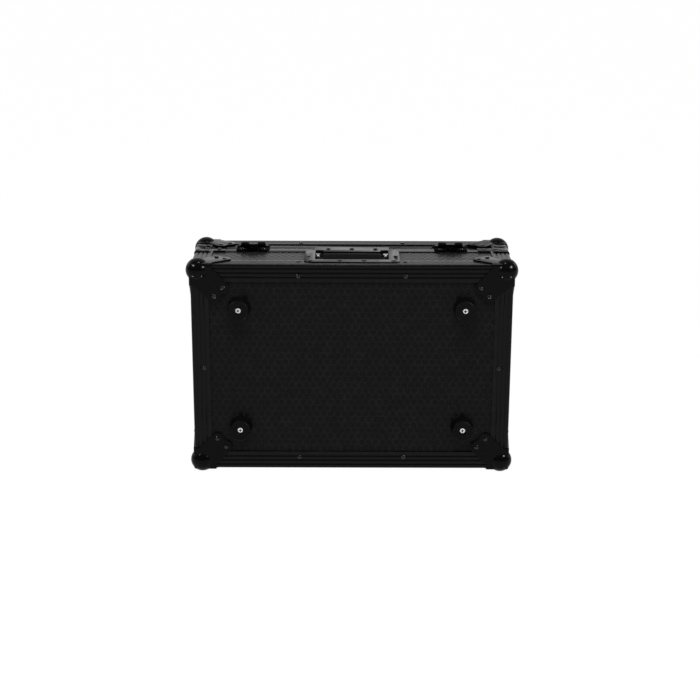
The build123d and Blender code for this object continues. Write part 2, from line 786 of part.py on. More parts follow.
def hinge_pin(x):
    """Hinge pin through all the knuckles."""
    start = (x - hinge_width / 2, hinge_depth, -hinge_axis_out)
    return rod(start, (1, 0, 0), hinge_pin_radius, hinge_width)


def foot(x, z):
    """Tapered rubber foot with a bore for its screw."""
    middle = Pos(0, 0, foot_height / 2)
    body = middle * Cone(foot_radius, foot_tip_radius, foot_height)
    tip = body.faces().sort_by(Axis.Z)[-1].edges()
    body = fillet(tip, foot_rounding)
    body -= Pos(0, 0, foot_height - foot_bore_depth / 2) * Cylinder(foot_bore_radius, foot_bore_depth)
    body -= Pos(0, 0, foot_height / 2) * Cylinder(foot_hole_radius, foot_height + 2 * overshoot)
    seat = Plane(origin=(x, edge_wall, z), x_dir=(1, 0, 0), z_dir=(0, -1, 0))
    return one(seat * body)


def foot_washer(x, z):
    """Washer on the floor of the foot's bore."""
    level = edge_wall - (foot_height - foot_bore_depth)
    ring = Cylinder(washer_radius, washer_thickness)
    ring -= Cylinder(foot_hole_radius, washer_thickness + 2 * overshoot)
    seat = Plane(origin=(x, level - washer_thickness / 2, z), x_dir=(1, 0, 0), z_dir=(0, -1, 0))
    return one(seat * ring)


def foot_screw(x, z):
    """Pan-head screw with a cross recess, through the washer, foot and panel face."""
    level = edge_wall - (foot_height - foot_bore_depth) - washer_thickness
    seat = Plane(origin=(x, level, z), x_dir=(1, 0, 0), z_dir=(0, -1, 0))
    head = extrude(Circle(screw_head_radius), screw_head_height)
    head = fillet(head.faces().sort_by(Axis.Z)[-1].edges(), screw_head_rounding)
    for turn in (0, 90):
        cross = Rot(0, 0, turn) * Box(cross_length, cross_width, screw_head_height)
        head -= Pos(0, 0, screw_head_height) * cross
    shank = extrude(Circle(foot_screw_radius), -(foot_height - foot_bore_depth + washer_thickness))
    return one(seat * (head + shank))


def wall_foam_strips():
    """Foam on the four walls of the base, open where the handle pan comes through."""
    y0, y1 = tube + floor_foam + foam_clear, base_depth - latch_edge_gap
    x = half_length - tube
    low, high = tube, case_height - tube
    inner_low, inner_high = low + wall_foam, high - wall_foam
    front = block(-x, x, y0, y1, inner_high, high) - handle_cut(foam_clear + pan_wall)
    return [block(-x, x, y0, y1, low, inner_low), one(front),
            block(-x, -x + wall_foam, y0, y1, inner_low + foam_clear, inner_high - foam_clear),
            block(x - wall_foam, x, y0, y1, inner_low + foam_clear, inner_high - foam_clear)]


def foam_sheet(y0, y1):
    """A foam sheet that covers the floor of the base or the inside of the lid."""
    x = half_length - tube - foam_clear
    return block(-x, x, y0, y1, tube + foam_clear, case_height - tube - foam_clear)


def write_half_shells():
    """Panels, extrusions and rims of the base and the lid."""
    base_walls = side_panels(tube, base_depth - rim_web, handle_cut(foam_clear))
    for name, panel in base_walls.items():
        save(f"base_{name}_panel", one(panel))
    save("base_bottom_panel", face_panel(edge_wall, panel_inner))
    save("base_bottom_edges", *face_edges(0, 1))
    save("base_corner_edges", *corner_edges(0, 1, rim_start))
    save("base_rims", *base_rims())
    web_end = lid_start + rim_web - groove_slot_depth
    for name, panel in side_panels(web_end, case_depth - tube).items():
        save(f"lid_{name}_panel", one(panel))
    save("lid_top_panel", face_panel(case_depth - panel_inner, case_depth - edge_wall))
    save("lid_top_edges", *face_edges(case_depth, -1))
    save("lid_corner_edges", *corner_edges(case_depth, -1, edge_leg))
    save("lid_rims", *lid_rims())


def write_corners():
    """Ball corners and braces."""
    for half in ("base", "lid"):
        shape = ball_corner(half == "lid")
        for side, side_name in ((-1, "left"), (1, "right")):
            for front, end_name in ((False, "rear"), (True, "front")):
                corner = at_corner(shape, side, half == "lid", front)
                save(f"{half}_ball_corner_{end_name}_{side_name}", corner)
    save("base_corner_braces", *braces(False))
    save("lid_corner_braces", *braces(True))
    save("base_rivets", *corner_rivets(False), *brace_rivets(False), *edge_rivets(False),
         *hinge_rivets(False), *latch_rivets(False), *handle_rivets())
    save("lid_rivets", *corner_rivets(True), *brace_rivets(True), *edge_rivets(True),
         *hinge_rivets(True), *latch_rivets(True))


def write_feet_and_foam():
    """Feet with their fasteners, and the foam lining."""
    spots = {}
    for side, side_name in ((-1, "left"), (1, "right")):
        for z, end_name in ((foot_inset_z, "rear"), (case_height - foot_inset_z, "front")):
            spots[f"foot_{end_name}_{side_name}"] = (side * (half_length - foot_inset_x), z)
    for name, (x, z) in spots.items():
        save(name, foot(x, z))
    save("foot_washers", *[foot_washer(x, z) for x, z in spots.values()])
    save("foot_screws", *[foot_screw(x, z) for x, z in spots.values()])
    save("base_floor_foam", foam_sheet(tube, tube + floor_foam))
    save("base_wall_foam", *wall_foam_strips())
    save("lid_foam", foam_sheet(case_depth - tube - lid_foam, case_depth - tube))


def write_hardware():
    """Handle, latches and hinges."""
    save("handle_dish", handle_dish())
    save("handle_pins", *handle_pins())
    save("handle_bar", handle_bar())
    save("handle_grip", handle_grip())
    save("handle_springs", *handle_springs())
    for x, side_name in zip(latch_x, ("left", "right")):
        save(f"latch_plate_{side_name}", latch_plate(x))
        save(f"latch_hook_{side_name}", latch_hook(x))
        save(f"latch_spindle_{side_name}", latch_spindle(x))
        save(f"latch_wing_{side_name}", latch_wing(x))
        save(f"latch_keeper_{side_name}", keeper(x))
    for x, side_name in ((-hinge_x, "left"), (hinge_x, "right")):
        save(f"hinge_base_leaf_{side_name}", hinge_leaf_half(x, False))
        save(f"hinge_lid_leaf_{side_name}", hinge_leaf_half(x, True))
        save(f"hinge_pin_{side_name}", hinge_pin(x))


write_half_shells()
write_corners()
write_feet_and_foam()
write_hardware()
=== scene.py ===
"""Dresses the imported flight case: its finishes, cells, rivets, feet, grip, foam and studio."""
import json
import math

import bmesh
import bpy
from bpy.props import FloatProperty, FloatVectorProperty, IntProperty, PointerProperty
from mathutils import Matrix, Vector

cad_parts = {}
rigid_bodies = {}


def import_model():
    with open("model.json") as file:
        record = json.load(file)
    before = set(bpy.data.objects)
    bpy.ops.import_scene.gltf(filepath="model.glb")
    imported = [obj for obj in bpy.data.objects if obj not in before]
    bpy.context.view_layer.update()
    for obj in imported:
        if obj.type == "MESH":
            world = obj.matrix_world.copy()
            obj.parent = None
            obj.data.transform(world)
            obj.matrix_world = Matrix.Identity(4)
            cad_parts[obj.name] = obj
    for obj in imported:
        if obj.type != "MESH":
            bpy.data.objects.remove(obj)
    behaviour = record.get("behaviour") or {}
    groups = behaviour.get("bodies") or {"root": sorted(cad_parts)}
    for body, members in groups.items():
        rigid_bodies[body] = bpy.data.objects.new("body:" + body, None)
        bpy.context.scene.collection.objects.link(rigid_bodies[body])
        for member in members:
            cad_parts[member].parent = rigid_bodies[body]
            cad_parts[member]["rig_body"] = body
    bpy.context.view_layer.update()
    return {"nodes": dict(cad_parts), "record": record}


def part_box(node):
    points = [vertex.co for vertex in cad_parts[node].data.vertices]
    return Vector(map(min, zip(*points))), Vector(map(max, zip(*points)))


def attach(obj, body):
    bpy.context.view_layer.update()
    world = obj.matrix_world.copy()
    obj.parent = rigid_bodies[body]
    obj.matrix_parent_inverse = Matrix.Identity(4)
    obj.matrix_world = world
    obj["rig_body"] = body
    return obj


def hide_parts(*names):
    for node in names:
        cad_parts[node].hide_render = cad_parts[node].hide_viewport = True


bl_info = {
    "name": "Flight Case",
    "version": (1, 0, 0),
    "blender": (4, 5, 0),
    "location": "View3D > Sidebar > Flight Case",
    "description": "Dresses a mixer flight case around its packed frame",
    "category": "Object",
}

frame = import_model()
MM = 0.001

# The case's own outline, read from the frame: X along it, Y from underside to lid, Z upwards
SHELL_LOW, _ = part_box("base_bottom_edges")
_, SHELL_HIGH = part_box("lid_top_edges")
LEFT, UNDERSIDE, REAR = SHELL_LOW
RIGHT, LID_TOP, FRONT = SHELL_HIGH
RIM_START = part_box("base_rims")[0].y
LID_RIM_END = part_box("lid_rims")[1].y
# Its four corners in X and Z, each with the two directions that lead inwards
CORNERS = ((LEFT, REAR, 1, 1), (RIGHT, REAR, -1, 1), (RIGHT, FRONT, -1, -1), (LEFT, FRONT, 1, -1))
HALVES = ("base", "lid")
ENDS = ("front", "rear")
SIDES = ("left", "right")

# Rounding of edges that don't follow the soft edge setting
ROUND = {name: width * MM for name, width in
         {"ball": 0.6, "brace": 0.4, "dish": 0.4, "boot": 0.4, "latch": 0.2, "screw": 0.2,
          "washer": 0.15, "foot": 0.12, "foam": 1.6}.items()}
# Distances within which points are one point, or lie on one level, and degrees that count as flat
JOIN_WITHIN = 0.002 * MM
POLE_WITHIN = 0.001 * MM
LEVEL_WITHIN = 0.01 * MM
FLAT_WITHIN = 0.8
# The cells keep this share of their width clear of a panel's edges
CELL_MARGIN = 0.62
TURNED_SEGMENTS = 48
HEAD_SEGMENTS = 20

# Camera, fitted to the edges of the case in the photograph
CAMERA_PLACE = (-0.0067, -2.4224, 0.9188)
CAMERA_YAW = 0.095
CAMERA_PITCH = 16.691
CAMERA_ROLL = -0.179
FOCAL_PIXELS = 1471.7
PICTURE_PIXELS = 700.0
SENSOR = 36.0

# Floor and backdrop. The gloss of the case sees the backdrop grow from dark to bright along Y
FLOOR_WHITE = 1.02
FLOOR_GREY = (0.7, 0.7, 0.7, 1.0)
FLOOR_SIZE = 24.0
BACKDROP = {"From Min": -0.05, "From Max": 0.75, "To Min": 0.1, "To Max": 0.88}

# Lamps. The small ones give name, place, width, height and share of the glints' brightness
LAMP_AIM = (0.0, 0.0, 0.2)
OVERHEAD_PLACE = (0.0, -0.9, 2.5)
OVERHEAD_SIZE = (1.4, 1.8)
GLINT_LAMPS = (("top", (0.0, -0.15, 1.95), 0.30, 0.20, 0.5),
               ("left", (-0.8, -0.50, 1.04), 0.30, 0.16, 1.0),
               ("right", (1.2, -0.70, 1.20), 0.46, 0.24, 1.4))
# Where the table gives the lamps back to the upper balls: outwards from a ball, and ahead of it
TABLE_GLINTS = {"inner": (-0.20, 0.16), "outer": (0.28, 0.15)}
TABLE_BEAM = 15.0
TABLE_GLINT_SIZE = (0.09, 0.05)
TABLE_GLINT_HEIGHT = 0.004

# Colour under a rubbed coating, and where the masks of wear go from none to full
RUBBED = (0.03, 0.03, 0.031)
CONVEX_EDGES = {"From Min": 0.52, "From Max": 0.62}
BROKEN_UP = {"From Min": 0.42, "From Max": 0.68}


def length_setting(name, millimetres, words):
    """A length in metres that a user can change."""
    return FloatProperty(name=name, default=millimetres * MM, min=0.0, precision=5,
                         unit="LENGTH", description=words)


def colour_setting(name, value, words):
    """A surface colour that a user can change."""
    return FloatVectorProperty(name=name, subtype="COLOR", size=3, min=0.0, max=1.0,
                               default=value, description=words)


class CaseSizes(bpy.types.PropertyGroup):
    """Sizes of the pieces that Blender makes."""
    edge_leg: length_setting("Edge leg", 30.0, "Width of an edge extrusion's leg")
    edge_wall: length_setting("Edge wall", 3.0, "Thickness of an edge extrusion's outer leg")
    inner_wall: length_setting("Inner wall", 1.5, "Thickness of the legs behind the panels")
    inner_leg: length_setting("Inner leg", 22.0, "Reach of the legs behind the panels")
    panel: length_setting("Panel", 6.5, "Thickness of the laminated panels")
    groove_pitch: length_setting("Groove pitch", 7.3, "Distance between an extrusion's grooves")
    groove_width: length_setting("Groove width", 2.8, "Width of a groove")
    groove_depth: length_setting("Groove depth", 0.9, "Depth of a groove")
    cell_pitch: length_setting("Cell pitch", 11.66, "Distance between two cells of the laminate")
    cell_width: length_setting("Cell width", 8.8, "Width of a cell across its flats")
    cell_rise: length_setting("Cell rise", 0.22, "How far a cell stands out of the laminate")
    soft_edge: length_setting("Soft edge", 0.25, "Rounding of extruded and folded edges")
    rivet_radius: length_setting("Rivet radius", 3.8, "Radius of a rivet head")
    rivet_rise: length_setting("Rivet rise", 1.7, "Height of a rivet head")
    groove_count: IntProperty(name="Grooves", default=3, min=0, description="Grooves in each leg")


class CaseColours(bpy.types.PropertyGroup):
    """Colours of the case's finishes."""
    web: colour_setting("Laminate web", (0.0118, 0.0118, 0.0120), "Lines between the cells")
    # Painted shade: the cells get a darker colour than the web, though the laminate is one colour
    cell: colour_setting("Laminate cell", (0.0057, 0.0057, 0.0058), "Cells of the laminate")
    extrusion: colour_setting("Extrusion", (0.0008, 0.0008, 0.0009), "Black anodised extrusions")
    steel: colour_setting("Coated steel", (0.0030, 0.0030, 0.0031), "Corners, braces and dish")
    latch: colour_setting("Latch", (0.0015, 0.0015, 0.0016), "Butterfly latches")
    rivet: colour_setting("Rivet", (0.0018, 0.0018, 0.0018), "Rivet heads")
    rubber: colour_setting("Foot rubber", (0.0026, 0.0026, 0.0026), "Rubber feet")
    grip: colour_setting("Grip rubber", (0.004, 0.004, 0.004), "Rubber of the handle's grip")
    zinc: colour_setting("Zinc", (0.76, 0.76, 0.77), "Bright screws, washers, bar and pins")
    foam: colour_setting("Foam", (0.012, 0.012, 0.013), "Foam lining")


class StudioLight(bpy.types.PropertyGroup):
    """Light and ground of the studio."""
    ambient: FloatProperty(name="Ambient", default=0.26, min=0.0,
                           description="Strength of the world where it only lights the case")
    key: FloatProperty(name="Overhead", default=50.0, min=0.0, unit="POWER",
                       description="Power of the broad lamp above the case")
    glint: FloatProperty(name="Glints", default=60.0, min=0.0,
                         description="Brightness of the small lamps that glint in balls and rivets")
    floor_lift: FloatProperty(name="Floor lift", default=0.97, min=0.0, max=1.0, subtype="FACTOR",
                              description="Share of the floor's white that a shadow can't darken")


def sizes():
    """The lengths that a user can change."""
    return bpy.context.scene.case_sizes


def colours():
    """The colours that a user can change."""
    return bpy.context.scene.case_colours


def node(tree, kind, inputs=None, **values):
    """Adds one node with its plain properties and the values of its inputs, by name or number."""
    made = tree.nodes.new(kind)
    for name, value in values.items():
        setattr(made, name, value)
    for entry, value in (inputs or {}).items():
        made.inputs[entry].default_value = value
    return made


def link(tree, source, output, target, entry):
    """Joins two sockets."""
    tree.links.new(source.outputs[output], target.inputs[entry])


def shader_group(name, inputs, outputs):
    """An empty shader group with named sockets, and its input and output nodes."""
    tree = bpy.data.node_groups.new(name, "ShaderNodeTree")
    for label, kind, value in inputs:
        socket = tree.interface.new_socket(label, in_out="INPUT", socket_type=kind)
        socket.default_value = value
    for label, kind in outputs:
        tree.interface.new_socket(label, in_out="OUTPUT", socket_type=kind)
    return tree, tree.nodes.new("NodeGroupInput"), tree.nodes.new("NodeGroupOutput")


def coating_group():
    """Fine orange peel and soft handling marks of a black coating."""
    tree, start, end = shader_group(
        "coating marks",
        [("Peel Scale", "NodeSocketFloat", 900.0), ("Mark Scale", "NodeSocketFloat", 14.0),
         ("Base Roughness", "NodeSocketFloat", 0.4), ("Roughness Spread", "NodeSocketFloat", 0.12)],
        [("Roughness", "NodeSocketFloat"), ("Height", "NodeSocketFloat"),
         ("Marks", "NodeSocketFloat")])
    place = node(tree, "ShaderNodeTexCoord")
    peel = node(tree, "ShaderNodeTexNoise")
    marks = node(tree, "ShaderNodeTexNoise", {"Detail": 5.0, "Roughness": 0.62})
    spread = node(tree, "ShaderNodeMath", {1: 0.5}, operation="SUBTRACT")
    scaled = node(tree, "ShaderNodeMath", operation="MULTIPLY_ADD")
    link(tree, place, "Object", peel, "Vector")
    link(tree, place, "Object", marks, "Vector")
    link(tree, start, "Peel Scale", peel, "Scale")
    link(tree, start, "Mark Scale", marks, "Scale")
    link(tree, marks, "Fac", spread, 0)
    link(tree, spread, 0, scaled, 0)
    link(tree, start, "Roughness Spread", scaled, 1)
    link(tree, start, "Base Roughness", scaled, 2)
    link(tree, scaled, 0, end, "Roughness")
    link(tree, peel, "Fac", end, "Height")
    link(tree, marks, "Fac", end, "Marks")
    return tree


def wear_group():
    """Rubbed edges: a mask from the mesh's convex edges, broken up by noise."""
    tree, start, end = shader_group(
        "edge wear",
        [("Amount", "NodeSocketFloat", 0.3), ("Scale", "NodeSocketFloat", 60.0)],
        [("Mask", "NodeSocketFloat")])
    shape = node(tree, "ShaderNodeNewGeometry")
    place = node(tree, "ShaderNodeTexCoord")
    noise = node(tree, "ShaderNodeTexNoise")
    edges = node(tree, "ShaderNodeMapRange", CONVEX_EDGES)
    broken = node(tree, "ShaderNodeMapRange", BROKEN_UP)
    both = node(tree, "ShaderNodeMath", operation="MULTIPLY")
    amount = node(tree, "ShaderNodeMath", operation="MULTIPLY")
    link(tree, shape, "Pointiness", edges, "Value")
    link(tree, place, "Object", noise, "Vector")
    link(tree, start, "Scale", noise, "Scale")
    link(tree, noise, "Fac", broken, "Value")
    link(tree, edges, 0, both, 0)
    link(tree, broken, 0, both, 1)
    link(tree, both, 0, amount, 0)
    link(tree, start, "Amount", amount, 1)
    link(tree, amount, 0, end, "Mask")
    return tree


GROUPS = {}


def placed_group(tree, name, builder, **values):
    """Places a shared group in a material, with that material's own values."""
    if name not in GROUPS:
        GROUPS[name] = builder()
    made = tree.nodes.new("ShaderNodeGroup")
    made.node_tree = GROUPS[name]
    for label, value in values.items():
        made.inputs[label.replace("_", " ").title()].default_value = value
    return made


def coated(name, colour, specular, roughness, spread, peel_scale, peel_depth, rubbed=RUBBED,
           wear=0.05, mark_scale=14.0, mottle=0.18):
    """A black coated or moulded surface: peel, handling marks and rubbed edges."""
    material = bpy.data.materials.new(name)
    material.use_nodes = True
    tree = material.node_tree
    surface = tree.nodes["Principled BSDF"]
    surface.inputs["Specular IOR Level"].default_value = specular
    marks = placed_group(tree, "coating", coating_group, peel_scale=peel_scale,
                         mark_scale=mark_scale, base_roughness=roughness,
                         roughness_spread=spread)
    worn = placed_group(tree, "wear", wear_group, amount=wear)
    dark = (*[c * (1.0 - mottle) for c in colour], 1.0)
    light = (*[min(1.0, c * (1.0 + mottle)) for c in colour], 1.0)
    tone = node(tree, "ShaderNodeMix", data_type="RGBA")
    tone.inputs[6].default_value = dark
    tone.inputs[7].default_value = light
    edge = node(tree, "ShaderNodeMix", data_type="RGBA")
    edge.inputs[7].default_value = (*rubbed, 1.0)
    bump = node(tree, "ShaderNodeBump", {"Strength": 0.35, "Distance": peel_depth})
    link(tree, marks, "Marks", tone, 0)
    link(tree, tone, 2, edge, 6)
    link(tree, worn, "Mask", edge, 0)
    link(tree, edge, 2, surface, "Base Color")
    link(tree, marks, "Roughness", surface, "Roughness")
    link(tree, marks, "Height", bump, "Height")
    link(tree, bump, "Normal", surface, "Normal")
    return material


def bare_metal(name, colour, roughness):
    """Bright zinc with fine drawn scratches."""
    material = coated(name, colour, specular=0.5, roughness=roughness, spread=0.18,
                      peel_scale=1500.0, peel_depth=0.00003, rubbed=colour, wear=0.0,
                      mark_scale=120.0)
    material.node_tree.nodes["Principled BSDF"].inputs["Metallic"].default_value = 1.0
    return material


def make_finishes():
    """All the finishes of the case, by the record's material slots and a few of their own."""
    c = colours()
    return {
        "laminated_panel": coated("laminate web", c.web, specular=0.042, roughness=0.34,
                                  spread=0.04, peel_scale=700.0, peel_depth=0.00004,
                                  wear=0.2, mottle=0.1),
        # Painted shade: the cells' darker colour stands in for shade on the raised pads
        "laminate_cell": coated("laminate cell", c.cell, specular=0.062, roughness=0.22,
                                spread=0.04, peel_scale=900.0, peel_depth=0.00002,
                                wear=0.2, mottle=0.1),
        "black_aluminium": coated("anodised extrusion", c.extrusion, specular=0.13,
                                  roughness=0.26, spread=0.06, peel_scale=1200.0,
                                  peel_depth=0.00001, wear=0.1),
        "black_steel": coated("coated steel", c.steel, specular=0.062, roughness=0.15,
                              spread=0.04, peel_scale=500.0, peel_depth=0.000006),
        "latch_black": coated("latch coating", c.latch, specular=0.002, roughness=0.5,
                              spread=0.10, peel_scale=500.0, peel_depth=0.00003, wear=0.02),
        "black_rivet": coated("rivet coating", c.rivet, specular=0.36, roughness=0.07,
                              spread=0.03, peel_scale=600.0, peel_depth=0.000006, wear=0.0),
        "rubber_foot": coated("foot rubber", c.rubber, specular=0.07, roughness=0.45,
                              spread=0.08, peel_scale=420.0, peel_depth=0.00008),
        "rubber_grip": coated("grip rubber", c.grip, specular=0.04, roughness=0.5,
                              spread=0.08, peel_scale=1500.0, peel_depth=0.00010),
        "zinc_steel": bare_metal("bright zinc", c.zinc, roughness=0.26),
    }


def foam_finish():
    """Charcoal open-cell foam: fine pores with painted shade in their pits, and a soft mottle."""
    material = bpy.data.materials.new("foam")
    material.use_nodes = True
    tree = material.node_tree
    surface = tree.nodes["Principled BSDF"]
    surface.inputs["Roughness"].default_value = 0.95
    surface.inputs["Specular IOR Level"].default_value = 0.1
    surface.inputs["Sheen Weight"].default_value = 0.15
    place = node(tree, "ShaderNodeTexCoord")
    pores = node(tree, "ShaderNodeTexVoronoi", {"Scale": 520.0})
    mottle = node(tree, "ShaderNodeTexNoise", {"Scale": 30.0})
    tone = node(tree, "ShaderNodeMix", data_type="RGBA")
    colour = colours().foam
    tone.inputs[6].default_value = (*[c * 0.55 for c in colour], 1.0)
    tone.inputs[7].default_value = (*[c * 1.35 for c in colour], 1.0)
    # The colour goes darker where the pores' bump is lowest: painted shade in the pits, mixed with
    # a random mottle
    mixed = node(tree, "ShaderNodeMath", {1: 0.8}, operation="MULTIPLY_ADD")
    bump = node(tree, "ShaderNodeBump", {"Distance": 0.0006})
    link(tree, place, "Object", pores, "Vector")
    link(tree, place, "Object", mottle, "Vector")
    link(tree, pores, "Distance", mixed, 0)
    link(tree, mottle, "Fac", mixed, 2)
    link(tree, mixed, 0, tone, 0)
    link(tree, tone, 2, surface, "Base Color")
    link(tree, pores, "Distance", bump, "Height")
    link(tree, bump, "Normal", surface, "Normal")
    return material


FINISHES = {}


def finish_of(slot):
    """The finish of one material slot, made when it is first asked for."""
    if not FINISHES:
        FINISHES.update(make_finishes())
        FINISHES["foam"] = foam_finish()
    return FINISHES[slot]


def slot_of(cad_node):
    """The material slot that the record gives a CAD node."""
    rows = {row["node"]: row["material_slot"] for row in frame["record"]["subparts"]}
    return rows[cad_node]


def piece_from(bm, name, smooth=True):
    """An object at the origin from mesh code, with its faces pointing outwards."""
    bmesh.ops.recalc_face_normals(bm, faces=bm.faces)
    mesh = bpy.data.meshes.new(name)
    bm.to_mesh(mesh)
    bm.free()
    for face in mesh.polygons:
        face.use_smooth = smooth
    made = bpy.data.objects.new(name, mesh)
    bpy.context.scene.collection.objects.link(made)
    return made


def soften(piece, width, segments=2, angle=32.0):
    """Rounds the sharp edges of a piece and keeps its flat faces flat."""
    bevel = piece.modifiers.new("edges", "BEVEL")
    bevel.width = width
    bevel.segments = segments
    bevel.limit_method = "ANGLE"
    bevel.angle_limit = math.radians(angle)
    bevel.use_clamp_overlap = True
    bevel.harden_normals = True
    return piece


def settle(piece, body, slot, *replaced, finish=None):
    """Gives a finished piece the material of its finish or slot, puts it on its body and hides the
    CAD nodes that it replaces.
    """
    piece.data.materials.clear()
    piece.data.materials.append(finish_of(finish or slot))
    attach(piece, body)
    if replaced:
        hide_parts(*replaced)
    return piece


def merged_mesh(cad_node):
    """A CAD node's triangles as one joined mesh with its flat faces whole."""
    bm = bmesh.new()
    bm.from_mesh(frame["nodes"][cad_node].data)
    bmesh.ops.remove_doubles(bm, verts=bm.verts, dist=JOIN_WITHIN)
    bmesh.ops.dissolve_limit(bm, angle_limit=math.radians(FLAT_WITHIN), verts=bm.verts,
                             edges=bm.edges)
    return bm


def dress(cad_node, width=None, segments=2, angle=32.0):
    """A CAD node's shape with softened edges, standing for that node."""
    piece = piece_from(merged_mesh(cad_node), cad_node + ".soft")
    soften(piece, sizes().soft_edge if width is None else width, segments, angle)
    return settle(piece, frame["nodes"][cad_node]["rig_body"], slot_of(cad_node), cad_node)


def islands(bm):
    """The points of each separate solid in a mesh, in the order of the mesh."""
    seen, found = set(), []
    for first in bm.verts:
        if first in seen:
            continue
        seen.add(first)
        group, edge = [], [first]
        while edge:
            vertex = edge.pop()
            group.append(vertex.co.copy())
            for near in vertex.link_edges:
                other = near.other_vert(vertex)
                if other not in seen:
                    seen.add(other)
                    edge.append(other)
        found.append(group)
    return found


def seats_of(cad_node):
    """Seat and outward direction of each round fastener in a CAD node."""
    bm = bmesh.new()
    bm.from_mesh(frame["nodes"][cad_node].data)
    bmesh.ops.remove_doubles(bm, verts=bm.verts, dist=JOIN_WITHIN)
    seats = []
    for points in islands(bm):
        low = Vector(map(min, *points))
        high = Vector(map(max, *points))
        axis = min(range(3), key=lambda i: high[i] - low[i])
        middle = (low + high) / 2
        spread = {}
        for end in (low[axis], high[axis]):
            ring = [p for p in points if abs(p[axis] - end) < LEVEL_WITHIN]
            spread[end] = max((p - middle).length for p in ring)
        base = max(spread, key=spread.get)
        out = Vector((0.0, 0.0, 0.0))
        out[axis] = 1.0 if base == low[axis] else -1.0
        middle[axis] = base
        seats.append((middle, out))
    bm.free()
    return seats


def lathe(bm, outline, segments, origin=(0, 0, 0), facing=(0, 0, 1)):
    """Turns an outline of (radius, height) points around an axis. Radius 0 closes a pole."""
    turn = Vector(facing).to_track_quat("Z", "Y").to_matrix()
    origin = Vector(origin)
    rings = []
    for radius, height in outline:
        if radius <= 0.0:
            rings.append([bm.verts.new(origin + turn @ Vector((0, 0, height)))])
            continue
        rings.append([bm.verts.new(origin + turn @ Vector((
            radius * math.cos(2 * math.pi * i / segments),
            radius * math.sin(2 * math.pi * i / segments), height))) for i in range(segments)])
    for lower, upper in zip(rings, rings[1:]):
        for i in range(segments):
            j = (i + 1) % segments
            corners = [lower[i % len(lower)], lower[j % len(lower)],
                       upper[j % len(upper)], upper[i % len(upper)]]
            unique = list(dict.fromkeys(corners))
            if len(unique) > 2:
                bm.faces.new(unique)


def bridge(bm, first, second):
    """Joins two rings of vertices with a band of faces."""
    for i in range(len(first)):
        j = (i + 1) % len(first)
        bm.faces.new((first[i], first[j], second[j], second[i]))


def arc(centre_r, centre_h, radius, start, end, steps):
    """Points of an arc in an outline, with its angles in degrees."""
    angles = [math.radians(start + (end - start) * i / steps) for i in range(steps + 1)]
    return [(centre_r + radius * math.cos(a), centre_h + radius * math.sin(a)) for a in angles]


def seats_tree():
    """Sets a head on each point, turned to its facing, and gives it a finish."""
    tree = bpy.data.node_groups.new("heads on seats", "GeometryNodeTree")
    for label, kind in (("Seats", "NodeSocketGeometry"), ("Head", "NodeSocketObject"),
                        ("Size", "NodeSocketFloat"), ("Finish", "NodeSocketMaterial")):
        tree.interface.new_socket(label, in_out="INPUT", socket_type=kind)
    tree.interface.new_socket("Heads", in_out="OUTPUT", socket_type="NodeSocketGeometry")
    start, end = tree.nodes.new("NodeGroupInput"), tree.nodes.new("NodeGroupOutput")
    facing = node(tree, "GeometryNodeInputNamedAttribute", data_type="FLOAT_VECTOR")
    facing.inputs["Name"].default_value = "facing"
    turn = node(tree, "FunctionNodeAlignRotationToVector", axis="Z")
    head = node(tree, "GeometryNodeObjectInfo")
    place = node(tree, "GeometryNodeInstanceOnPoints")
    real = node(tree, "GeometryNodeRealizeInstances")
    coat = node(tree, "GeometryNodeSetMaterial")
    link(tree, start, "Seats", place, "Points")
    link(tree, start, "Head", head, "Object")
    link(tree, start, "Size", place, "Scale")
    link(tree, start, "Finish", coat, "Material")
    link(tree, facing, "Attribute", turn, "Vector")
    link(tree, head, "Geometry", place, "Instance")
    link(tree, turn, "Rotation", place, "Rotation")
    link(tree, place, "Instances", real, "Geometry")
    link(tree, real, "Geometry", coat, "Geometry")
    link(tree, coat, "Geometry", end, "Heads")
    return tree


TREES = {}


def heads_on_seats(name, head, seats, slot, size=1.0, finish=None):
    """One plain mesh of a head repeated on every seat."""
    if "seats" not in TREES:
        TREES["seats"] = seats_tree()
    tree = TREES["seats"]
    mesh = bpy.data.meshes.new(name)
    mesh.from_pydata([place for place, _ in seats], [], [])
    facing = mesh.attributes.new("facing", "FLOAT_VECTOR", "POINT")
    facing.data.foreach_set("vector", [value for _, out in seats for value in out])
    holder = bpy.data.objects.new(name + ".seats", mesh)
    bpy.context.scene.collection.objects.link(holder)
    modifier = holder.modifiers.new("heads", "NODES")
    modifier.node_group = tree
    keys = {item.name: item.identifier for item in tree.interface.items_tree
            if item.in_out == "INPUT"}
    modifier[keys["Head"]] = head
    modifier[keys["Size"]] = size
    modifier[keys["Finish"]] = finish_of(finish or slot)
    view = bpy.context.evaluated_depsgraph_get()
    made = bpy.data.meshes.new_from_object(holder.evaluated_get(view))
    bpy.data.objects.remove(holder)
    piece = bpy.data.objects.new(name, made)
    bpy.context.scene.collection.objects.link(piece)
    return piece


def template(bm, name, smooth=True):
    """A head for heads_on_seats. It is taken away once its copies are made."""
    head = piece_from(bm, name, smooth)
    head.hide_render = True
    return head


def swept_ring(name, profile):
    """A profile of (inset, y) points carried round the case, mitred at its four corners."""
    bm = bmesh.new()
    loops = [[bm.verts.new((x + sx * inset, y, z + sz * inset)) for inset, y in profile]
             for x, z, sx, sz in CORNERS]
    for first, second in zip(loops, loops[1:] + loops[:1]):
        bridge(bm, first, second)
    return piece_from(bm, name)


def leg_outline(reach):
    """The outer side of one grooved leg, from its free end to the rounded corner."""
    s = sizes()
    points = [(0.0, reach)]
    half = s.groove_width / 2
    flat = 0.15 * half
    for step in range(s.groove_count, 0, -1):
        middle = step * s.groove_pitch
        points += [(0.0, middle + half), (s.groove_depth, middle + flat),
                   (s.groove_depth, middle - flat), (0.0, middle - half)]
    return points


